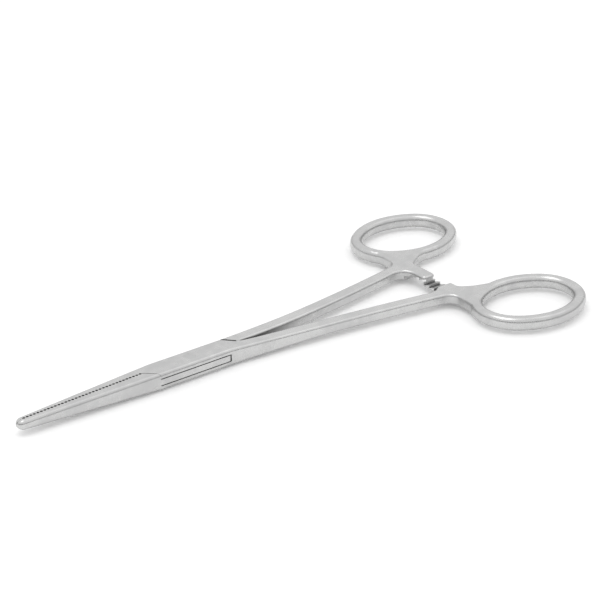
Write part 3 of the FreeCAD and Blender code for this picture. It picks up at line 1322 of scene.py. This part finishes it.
class TongueHalf(Forging):
    """Half that narrows to a flat web and passes between the plates."""

    UPPER_BAR = True

    def build(self) -> bpy.types.Object:
        """Builds the half.

        Returns:
            The closed solid, in millimetres.
        """
        shop, lock = self.shop, self.sizes.lock
        blank = shop.mirror(self.blank())
        tools = [self._outside_web(), shop.mirror(self.serrations()),
                 self.upside_down(self.relief()), self.upside_down(self.teeth()),
                 shop.disc("bore", lock.pin_radius + lock.pin_gap)]
        return shop.combine(blank, Join.CUT, tools + self.joint_lines())

    def _outside_web(self) -> bpy.types.Object:
        """Cutter for all that goes between the shoulders, except the web itself.

        Returns:
            The cutter.
        """
        lock, end = self.sizes.lock, self.sizes.shank_mid_x
        gap = lock.midline_gap
        flank = lock.flank_x + lock.shoulder_gap
        corner = lock.midline_x + lock.shoulder_gap
        away = [(flank, WIDE), (-FAR, WIDE), (-FAR, -gap), (-corner, -gap),
                (-flank, -lock.half_width), (-flank, -WIDE), (end, -WIDE), (end, gap),
                (corner, gap), (flank, lock.half_width)]
        block = self.shop.prism("outside_web", away)
        web = self.web("web", lock.slot_radius - lock.end_gap, lock.web_thickness / 2,
                       lock.midline_x, gap)
        return self.shop.combine(block, Join.CUT, web)


class Pin:
    """Pin of the box lock, riveted flush, with the rims of its ends broken."""

    def __init__(self, shop: Workshop, sizes: Sizes) -> None:
        """Keeps the workshop and the sizes."""
        self.shop, self.sizes = shop, sizes

    def build(self) -> bpy.types.Object:
        """Builds the pin.

        Returns:
            The closed solid, in millimetres.
        """
        lock = self.sizes.lock
        tight = lock.pin_radius - lock.pin_soft
        levels = ((tight, 0.0), (lock.pin_radius, lock.pin_soft),
                  (lock.pin_radius, lock.thickness - lock.pin_soft),
                  (tight, lock.thickness))
        return self.shop.loft("pin", [
            [(x, y, z) for x, y in Path.circle(radius, Workshop.DISC_SIDES)]
            for radius, z in levels])


class ShaderTree(NodeWriter):
    """Writes shader nodes into the tree of a material, a world or a group."""

    @classmethod
    def fresh(cls, owner: bpy.types.ID) -> "ShaderTree":
        """Starts the tree of a material or a world.

        Args:
            owner: The material or world.

        Returns:
            Its tree, with no nodes.
        """
        owner.use_nodes = True
        owner.node_tree.nodes.clear()
        return cls(owner.node_tree)

    def math(self, operation: str, *values: object) -> bpy.types.NodeSocket:
        """Result of one sum.

        Args:
            operation: Name of the operation.
            *values: Its values or sockets.

        Returns:
            The socket of the result.
        """
        made = self.node("ShaderNodeMath", {"operation": operation})
        for socket, value in zip(made.inputs, values):
            self.feed(socket, value)
        return made.outputs[0]

    def product(self, *values: object) -> bpy.types.NodeSocket:
        """All the values multiplied."""
        return reduce(lambda one, two: self.math("MULTIPLY", one, two), values)

    def total(self, *values: object) -> bpy.types.NodeSocket:
        """All the values added."""
        return reduce(lambda one, two: self.math("ADD", one, two), values)

    def seen(self) -> bpy.types.NodeSocket:
        """One for the camera and for what metal or glass shows, nought for light.

        Returns:
            The socket of the result.
        """
        ray = self.node("ShaderNodeLightPath").outputs
        return self.math("MAXIMUM", ray["Is Camera Ray"], self.math(
            "MAXIMUM", ray["Is Glossy Ray"], ray["Is Transmission Ray"]))

    def spread(self, value: object, low: float, high: float, start: float = 0.0,
               end: float = 1.0) -> bpy.types.NodeSocket:
        """Value moved smoothly from one range to another.

        Args:
            value: The socket.
            low: Value that becomes the start.
            high: Value that becomes the end.
            start: Start of the new range.
            end: End of the new range.

        Returns:
            The socket of the result.
        """
        return self.node("ShaderNodeMapRange", {"interpolation_type": "SMOOTHSTEP"},
                         Value=value, From_Min=low, From_Max=high, To_Min=start,
                         To_Max=end).outputs[0]

    def blend(self, amount: object, one: object, two: object) -> bpy.types.NodeSocket:
        """Mix of two colours.

        Args:
            amount: How much of the second.
            one: First colour.
            two: Second colour.

        Returns:
            The socket of the result.
        """
        made = self.node("ShaderNodeMix", {"data_type": "RGBA"})
        for place, value in ((0, amount), (6, one), (7, two)):
            self.feed(made.inputs[place], value)
        return made.outputs[2]

    def noise(self, where: object, scale: float, detail: float,
              rough: float) -> bpy.types.NodeSocket:
        """Cloudy pattern.

        Args:
            where: Coordinates.
            scale: Number of clouds in a metre.
            detail: Octaves.
            rough: Strength of the finer octaves.

        Returns:
            The socket of the pattern.
        """
        return self.node("ShaderNodeTexNoise", Vector=where, Scale=scale, Detail=detail,
                         Roughness=rough).outputs[0]

    def stretched(self, where: object, scale: tuple[float, float, float],
                  turn: float = 0.0) -> bpy.types.NodeSocket:
        """Coordinates turned about Z, in radians, and stretched along each axis."""
        return self.node("ShaderNodeMapping", Vector=where, Scale=scale,
                         Rotation=(0.0, 0.0, turn)).outputs[0]


@dataclass(frozen=True)
class SteelPattern:
    """Numbers of the steel's pattern, in metres.

    A noise is its number of clouds in a metre, its octaves and their strength. A range
    is the part of a pattern that becomes a mask from nought to one. A share is how much
    of a mask goes into the tone, the roughness or the height.
    """

    clouds: Noise = (55.0, 4.0, 0.55)
    mottle: Noise = (420.0, 3.0, 0.6)
    tone_shares: tuple[float, float] = (0.55, 0.45)
    tone_range: Range = (0.36, 0.64)
    haze_range: Range = (0.7, 0.3)
    mottle_height: float = 0.25
    brush_stretch: tuple[float, float, float] = (240.0, 5200.0, 3800.0)
    brush: Noise = (1.0, 3.0, 0.7)
    brush_tone_range: Range = (0.55, 0.8)
    brush_tone: float = 0.22
    brush_rough_range: Range = (0.4, 0.75)
    brush_rough: float = 0.07
    scratches: tuple = ((0.35, (70.0, 2600.0, 70.0)), (-0.8, (90.0, 3100.0, 90.0)))
    scratch: Noise = (1.0, 1.0, 0.55)
    scratch_level: float = 0.5
    scratch_range: Range = (0.012, 0.0)
    patches: Noise = (130.0, 2.0, 0.55)
    patch_range: Range = (0.52, 0.66)
    scratch_rough: float = 0.12
    scratch_height: float = -0.8
    edge_range: Range = (0.995, 0.86)
    breaks: Noise = (900.0, 2.0, 0.55)
    break_range: Range = (0.3, 0.62)
    rubbed: tuple[float, float, float, float] = (0.78, 0.78, 0.775, 1.0)
    wear_rough: float = -0.1
    samples: int = 6
    # Painted shade: crevices found by ambient occlusion and the inner flanks between the
    # shanks, darkened and roughened.
    crevice_reach: float = 0.003
    crevice_range: Range = (0.72, 0.12)
    crevice_mottle: tuple[float, float, float, float] = (0.2, 0.6, 0.6, 1.0)
    flank_range: Range = (0.7, 0.3)
    shanks_near: Range = (0.036, 0.014)
    behind_box: Range = (0.0118, 0.0128)
    inner_side: Range = (0.0026, 0.0021)
    shank_share: float = 0.55
    shade_rough: float = 0.25


class SteelSurface:
    """Shared pattern of polished steel, as a node group.

    It gives the tone, the roughness and the height of the surface: slow clouding of the
    polish, fine marks along the instrument, a few hairline scratches, edges rubbed
    bright, and painted shade, which darkens and roughens the crevices and the inner
    flanks between the shanks.
    """

    # The last colour and the last amount are the tone and the strength of the painted
    # shade.
    COLOURS = ("Pale", "Dull", "Shaded")
    AMOUNTS = ("Gloss", "Haze", "Brushing", "Edge Wear", "Edge Width", "Crevice")

    def __init__(self, pattern: SteelPattern) -> None:
        """Builds the group once.

        Args:
            pattern: Numbers of the pattern.
        """
        self.pattern = pattern
        self.group = bpy.data.node_groups.new("steel_surface", "ShaderNodeTree")
        self.tree = ShaderTree(self.group)
        self.tree.sockets("INPUT", [(label, "NodeSocketColor") for label in self.COLOURS])
        self.tree.sockets("INPUT", [(label, "NodeSocketFloat") for label in self.AMOUNTS])
        self.tree.sockets("OUTPUT", (("Base Color", "NodeSocketColor"),
                                     ("Roughness", "NodeSocketFloat"),
                                     ("Height", "NodeSocketFloat")))
        self.given = self.tree.node("NodeGroupInput").outputs
        self.where = self.tree.node("ShaderNodeTexCoord").outputs["Object"]
        self._write()

    def _write(self) -> None:
        """Writes the nodes of the group."""
        tree, given, p = self.tree, self.given, self.pattern
        clouds = tree.noise(self.where, *p.clouds)
        mottle = tree.noise(self.where, *p.mottle)
        marks = tree.noise(tree.stretched(self.where, p.brush_stretch), *p.brush)
        hair = self._hairlines()
        edge = self._edges()
        broken = tree.spread(tree.noise(self.where, *p.breaks), *p.break_range)
        wear = tree.product(edge, broken, given["Edge Wear"])
        # Painted shade: crevices found by ambient occlusion and the inner flanks between
        # the shanks.
        shade = tree.product(tree.math("MAXIMUM", self._crevice(mottle),
                                       self._shade_between_shanks()), given["Crevice"])

        tone = tree.total(tree.product(clouds, p.tone_shares[0]),
                          tree.product(mottle, p.tone_shares[1]))
        base = tree.blend(tree.spread(tone, *p.tone_range), given["Dull"], given["Pale"])
        brushed = tree.product(tree.spread(marks, *p.brush_tone_range), p.brush_tone)
        base = tree.blend(brushed, base, given["Dull"])
        base = tree.blend(wear, base, p.rubbed)
        # The painted shade darkens the base colour there.
        base = tree.blend(shade, base, given["Shaded"])
        rough = tree.total(
            tree.math("MULTIPLY_ADD", tree.spread(tone, *p.haze_range), given["Haze"],
                      given["Gloss"]),
            tree.product(tree.spread(marks, *p.brush_rough_range), p.brush_rough),
            tree.product(hair, p.scratch_rough), tree.product(wear, p.wear_rough),
            tree.product(shade, p.shade_rough))
        height = tree.total(tree.product(marks, given["Brushing"]),
                            tree.product(hair, p.scratch_height),
                            tree.product(mottle, p.mottle_height))
        tree.node("NodeGroupOutput", Base_Color=base, Roughness=rough, Height=height)

    def _hairlines(self) -> bpy.types.NodeSocket:
        """A few thin scratches in two directions.

        Returns:
            Mask of the scratches.
        """
        tree, p = self.tree, self.pattern
        lines = []
        for turn, scale in p.scratches:
            waves = tree.noise(tree.stretched(self.where, scale, turn), *p.scratch)
            near = tree.math("ABSOLUTE", tree.math("SUBTRACT", waves, p.scratch_level))
            lines.append(tree.spread(near, *p.scratch_range))
        patch = tree.spread(tree.noise(self.where, *p.patches), *p.patch_range)
        return tree.product(tree.math("MAXIMUM", *lines), patch)

    def _edges(self) -> bpy.types.NodeSocket:
        """Compares the surface's own direction with one that is rounded at the edges.

        Returns:
            Mask that is one along the edges.
        """
        tree, p = self.tree, self.pattern
        flat = tree.node("ShaderNodeNewGeometry").outputs["Normal"]
        soft = tree.node("ShaderNodeBevel", {"samples": p.samples},
                         Radius=self.given["Edge Width"])
        same = tree.node("ShaderNodeVectorMath", {"operation": "DOT_PRODUCT"})
        tree.feed(same.inputs[0], flat)
        tree.feed(same.inputs[1], soft.outputs[0])
        return tree.spread(same.outputs["Value"], *p.edge_range)

    def _crevice(self, mottle: bpy.types.NodeSocket) -> bpy.types.NodeSocket:
        """Finds the narrow places, by ambient occlusion, that get painted shade.

        Args:
            mottle: Fine pattern that breaks the mask up.

        Returns:
            Their mask.
        """
        tree, p = self.tree, self.pattern
        around = tree.node("ShaderNodeAmbientOcclusion",
                           {"samples": p.samples, "only_local": True},
                           Distance=p.crevice_reach).outputs["AO"]
        return tree.product(tree.spread(around, *p.crevice_range),
                            tree.spread(mottle, *p.crevice_mottle))

    def _shade_between_shanks(self) -> bpy.types.NodeSocket:
        """Finds the inner flanks behind the box, between the shanks, that get painted
        shade.

        Returns:
            Their mask.
        """
        tree, p = self.tree, self.pattern
        spot = tree.node("ShaderNodeSeparateXYZ", Vector=self.where).outputs
        normal = tree.node("ShaderNodeNewGeometry").outputs["Normal"]
        facing = tree.node("ShaderNodeSeparateXYZ", Vector=normal).outputs
        return tree.product(
            tree.spread(tree.math("ABSOLUTE", facing["Z"]), *p.flank_range),
            tree.spread(spot["X"], *p.shanks_near), tree.spread(spot["X"], *p.behind_box),
            tree.spread(tree.math("ABSOLUTE", spot["Y"]), *p.inner_side), p.shank_share)


@dataclass(frozen=True)
class SteelFinish:
    """Polished steel: its tones, its gloss, how far use has changed it, and its painted
    shade.
    """

    name: str
    pale: tuple[float, float, float] = (0.6, 0.6, 0.597)
    dull: tuple[float, float, float] = (0.525, 0.525, 0.525)
    # Tone of the painted shade in crevices and between the shanks.
    shaded: tuple[float, float, float] = (0.1, 0.1, 0.1)
    gloss: float = 0.22
    haze: float = 0.1
    brushing: float = 0.6
    edge_wear: float = 0.3
    edge_width: float = 0.00022
    # Strength of the painted shade.
    crevice: float = 1.0
    relief: float = 0.04
    relief_height: float = 0.00002
    specular: float = 0.5

    def build(self, surface: SteelSurface) -> bpy.types.Material:
        """Writes the material.

        Args:
            surface: The shared pattern.

        Returns:
            The material.
        """
        made = bpy.data.materials.new(self.name)
        tree = ShaderTree.fresh(made)
        look = tree.node("ShaderNodeGroup", {"node_tree": surface.group})
        for label in surface.COLOURS:
            tree.feed(look.inputs[label], (*getattr(self, label.lower()), 1.0))
        for label in surface.AMOUNTS:
            tree.feed(look.inputs[label], getattr(self, label.lower().replace(" ", "_")))
        bump = tree.node("ShaderNodeBump", Strength=self.relief,
                         Distance=self.relief_height, Height=look.outputs["Height"])
        steel = tree.node("ShaderNodeBsdfPrincipled", Metallic=1.0,
                          Base_Color=look.outputs["Base Color"],
                          Roughness=look.outputs["Roughness"], Normal=bump.outputs[0],
                          Specular_IOR_Level=self.specular)
        made.node_tree.nodes.active = tree.node("ShaderNodeOutputMaterial",
                                                Surface=steel.outputs[0])
        return made


class Finisher:
    """Turns a working solid into a shown piece.

    Points nearer than the merge distance are one, and slivers thinner than the other
    distance go, both in millimetres.
    """

    MERGE, SLIVER = 0.0008, 0.0005

    def __init__(self, steels: dict[str, bpy.types.Material]) -> None:
        """Keeps the material of each slot."""
        self.steels = steels

    def show(self, made: bpy.types.Object, kind: Piece) -> None:
        """Scales a solid to metres, smooths it, attaches it to its body in place of the
        imported node, and reports it.

        Args:
            made: The working solid, which is used up.
            kind: The piece that it is.
        """
        name, body, node, slot = kind.value
        work = bmesh.new()
        work.from_mesh(made.data)
        bmesh.ops.remove_doubles(work, verts=work.verts, dist=self.MERGE)
        bmesh.ops.triangulate(work, faces=[f for f in work.faces if len(f.verts) > 4])
        bmesh.ops.dissolve_degenerate(work, edges=work.edges, dist=self.SLIVER)
        bmesh.ops.scale(work, vec=(MM, MM, MM), verts=work.verts)
        mesh = bpy.data.meshes.new(name)
        work.to_mesh(mesh)
        open_edges = sum(len(edge.link_faces) != 2 for edge in work.edges)
        work.free()
        mesh.materials.clear()
        mesh.materials.append(self.steels[slot])
        mesh.polygons.foreach_set("material_index", [0] * len(mesh.polygons))
        mesh.shade_smooth()
        mesh.set_sharp_from_angle(angle=SHARP_ANGLE)
        piece = add_object(name, mesh)
        piece.modifiers.new("normals", "WEIGHTED_NORMAL").keep_sharp = True
        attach(piece, body)
        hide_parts(node)
        LOG.info("%s: %d faces, %d open edges, size %s", name, len(mesh.polygons),
                 open_edges, [round(d / MM, 2) for d in piece.dimensions])
        bpy.data.objects.remove(made)


@dataclass(frozen=True)
class Lamp:
    """Soft square lamp that is aimed at the part."""

    name: str
    spot: tuple[float, float, float]
    size: float
    power: float


@dataclass
class Studio:
    """Pale floor, grey screen, soft lamps, white world and the camera, in metres."""

    azimuth: float = math.radians(-37.259)
    elevation: float = math.radians(26.327)
    roll: float = math.radians(-0.167)
    lens: float = 106.737
    sensor: float = 36.0
    clip: tuple[float, float] = (0.01, 20.0)
    distance: float = 0.429314
    target: tuple[float, float, float] = (0.04167, 0.014345, 0.0)
    fill: float = 0.9
    floor_half: float = 3.0
    floor_drop: float = 0.0003
    floor_tone: float = 0.95
    floor_rough: float = 0.9
    floor_specular: float = 0.1
    floor_glow: float = 0.12
    flag_distance: float = 1.0
    flag_height: float = 0.26
    flag_rise: float = 0.12
    flag_tone: float = 0.42
    flag_sides: int = 48
    lamps: tuple[Lamp, ...] = (Lamp("overhead", (-0.2, 0.08, 1.2), 0.7, 2.3),
                               Lamp("edge_light", (0.66, -0.14, 1.0), 0.6, 0.4))

    def camera(self) -> None:
        """Sets the camera at the angle of the photograph."""
        a, e = self.azimuth, self.elevation
        back = Vector((math.sin(a) * math.cos(e), -math.cos(a) * math.cos(e),
                       math.sin(e)))
        right = Vector((math.cos(a), math.sin(a), 0))
        up = back.cross(right)
        c, s = math.cos(self.roll), math.sin(self.roll)
        right, up = right * c + up * s, up * c - right * s
        data = bpy.data.cameras.new("view")
        data.lens, data.sensor_width = self.lens, self.sensor
        data.clip_start, data.clip_end = self.clip
        made = add_object("view", data)
        place = Matrix((right, up, back)).transposed().to_4x4()
        place.translation = Vector(self.target) + back * self.distance
        made.matrix_world = place
        bpy.context.scene.camera = made

    @staticmethod
    def screen(name: str, points: Sequence[Sequence[float]],
               faces: Sequence[Sequence[int]],
               paint: bpy.types.Material) -> bpy.types.Object:
        """Stands a painted screen in the scene.

        Args:
            name: Its name.
            points: Its points.
            faces: Its faces.
            paint: Its material.

        Returns:
            The screen.
        """
        mesh = bpy.data.meshes.new(name)
        mesh.from_pydata(points, [], faces)
        mesh.materials.append(paint)
        return add_object(name, mesh)

    def floor(self) -> None:
        """Lays the pale floor, which takes the shadow and glows only where it is seen."""
        paint = bpy.data.materials.new("floor_paint")
        paint.use_nodes = True
        shade = paint.node_tree.nodes["Principled BSDF"].inputs
        tree = ShaderTree(paint.node_tree)
        glow = tree.product(tree.seen(), self.floor_glow)
        for label, value in (("Base Color", (*[self.floor_tone] * 3, 1)),
                             ("Roughness", self.floor_rough),
                             ("Specular IOR Level", self.floor_specular),
                             ("Emission Color", (1, 1, 1, 1)),
                             ("Emission Strength", glow)):
            tree.feed(shade[label], value)
        h = self.floor_half
        made = self.screen("floor", [(-h, -h, 0), (h, -h, 0), (h, h, 0), (-h, h, 0)],
                           [(0, 1, 2, 3)], paint)
        made.location.z = -self.floor_drop

    def flag(self) -> None:
        """Stands a low grey screen all round, which only reflections see.

        It is higher behind the camera, and draws the thin dark line under the bright one
        along each rounded edge.
        """
        count = self.flag_sides
        facing = math.atan2(-math.cos(self.azimuth), math.sin(self.azimuth))
        foot, top = [], []
        for i in range(count):
            turn = 2 * math.pi * i / count
            height = self.flag_height + self.flag_rise * math.cos(turn - facing)
            x = self.target[0] + self.flag_distance * math.cos(turn)
            y = self.target[1] + self.flag_distance * math.sin(turn)
            foot.append((x, y, 0.0))
            top.append((x, y, height))
        faces = [(i, (i + 1) % count, count + (i + 1) % count, count + i)
                 for i in range(count)]
        card = bpy.data.materials.new("grey_card")
        tree = ShaderTree.fresh(card)
        glow = tree.node("ShaderNodeEmission", Color=(1, 1, 1, 1),
                         Strength=self.flag_tone)
        tree.node("ShaderNodeOutputMaterial", Surface=glow.outputs[0])
        made = self.screen("flag", foot + top, faces, card)
        made.visible_camera = made.visible_diffuse = made.visible_shadow = False

    def light(self) -> None:
        """Hangs the soft lamps: one overhead and a weaker one past the ring end."""
        for lamp in self.lamps:
            data = bpy.data.lights.new(lamp.name, "AREA")
            data.size, data.energy = lamp.size, lamp.power
            made = add_object(lamp.name, data)
            made.location = lamp.spot
            aim = Vector(self.target) - Vector(lamp.spot)
            made.rotation_euler = aim.to_track_quat("-Z", "Y").to_euler()

    def world(self) -> None:
        """White backdrop for the camera and for reflections, and weaker fill light."""
        world = bpy.data.worlds.new("white")
        tree = ShaderTree.fresh(world)
        bpy.context.scene.world = world
        level = tree.math("MULTIPLY_ADD", tree.seen(), 1.0 - self.fill, self.fill)
        shade = tree.node("ShaderNodeBackground", Color=(1, 1, 1, 1), Strength=level)
        tree.node("ShaderNodeOutputWorld", Surface=shade.outputs[0])

    def build(self) -> None:
        """Sets up the whole studio."""
        for step in (self.camera, self.floor, self.flag, self.light, self.world):
            step()
        bpy.context.scene.view_settings.view_transform = "Standard"


def main() -> None:
    """Builds the pieces in order and sets up the studio."""
    sizes, shop, patterns = Sizes(), Workshop(), Patterns()
    surface = SteelSurface(SteelPattern())
    finisher = Finisher({
        "forged_steel": SteelFinish("forged_steel_polish").build(surface),
        "pin_steel": SteelFinish("pin_steel_polish", pale=(0.58, 0.58, 0.58),
                                 dull=(0.5, 0.5, 0.5), gloss=0.25).build(surface)})
    finisher.show(BoxHalf(shop, patterns, sizes).build(), Piece.BOX)
    finisher.show(TongueHalf(shop, patterns, sizes).build(), Piece.TONGUE)
    finisher.show(Pin(shop, sizes).build(), Piece.PIN)
    Studio().build()


if __name__ == "__main__":
    main()
